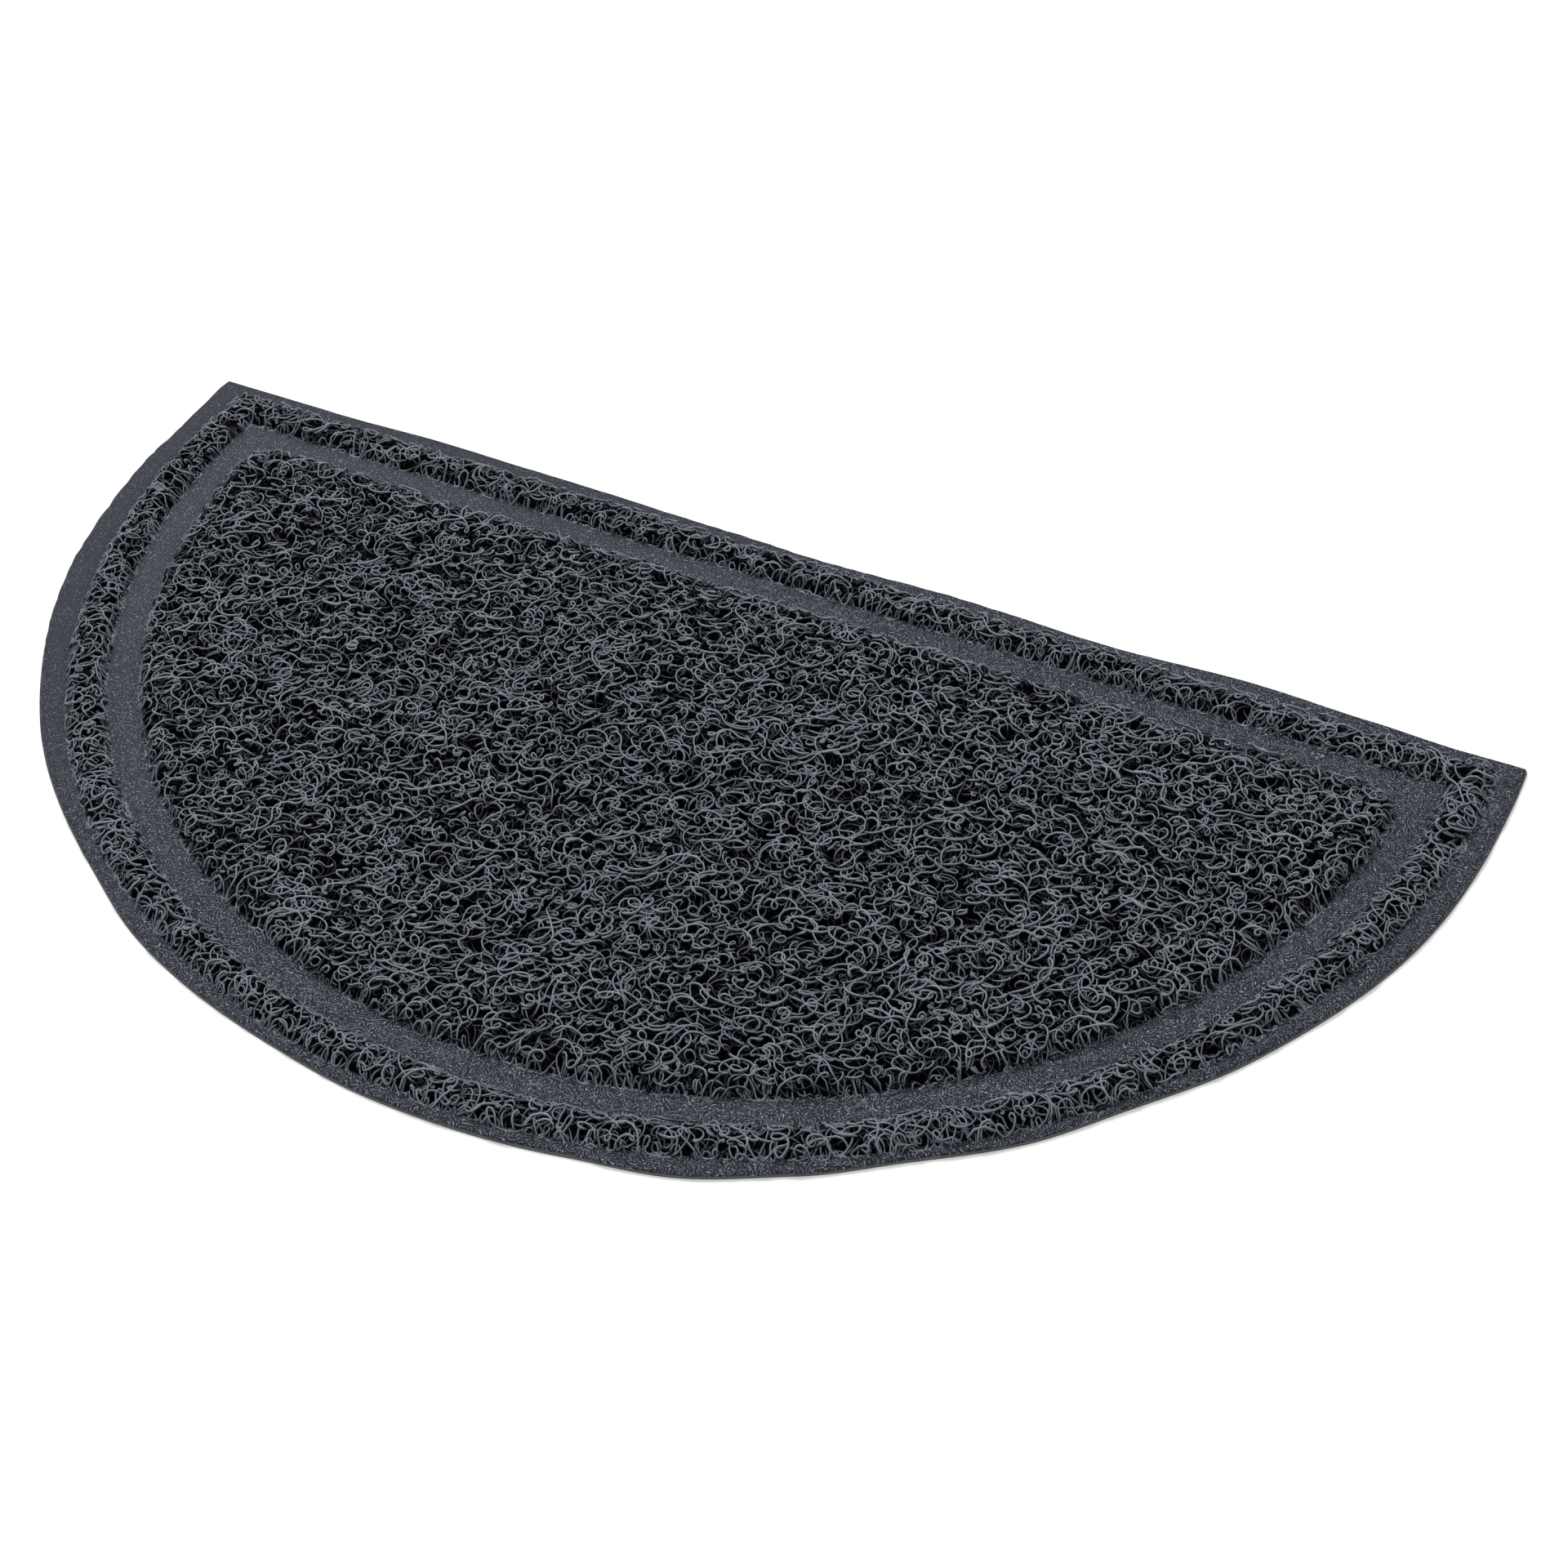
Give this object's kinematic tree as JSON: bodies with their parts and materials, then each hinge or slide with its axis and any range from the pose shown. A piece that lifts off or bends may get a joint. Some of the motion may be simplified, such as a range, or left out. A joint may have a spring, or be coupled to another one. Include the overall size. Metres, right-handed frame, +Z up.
{
  "type": "half round litter mat",
  "caption": "Half round mat of looped vinyl strands on a thin vinyl backing, with a pressed rim, a raised border strip and a raised field that catches litter from paws.",
  "frame": {"origin": "middle of the mat's box in plan, on the surface that the backing lies on", "axes": "+X along the straight edge, +Y towards the straight edge, +Z up from the backing to the loops"},
  "size_m": [0.5978, 0.3444, 0.0106],
  "materials": {
    "backing_vinyl": "smooth dark vinyl film with a faint grain",
    "web_vinyl": "satin blue grey vinyl strands, looped where raised and fused flat where pressed"
  },
  "bodies": {
    "root": {"backing_sheet": "backing_vinyl", "coil_web": "web_vinyl"}
  },
  "joints": []
}
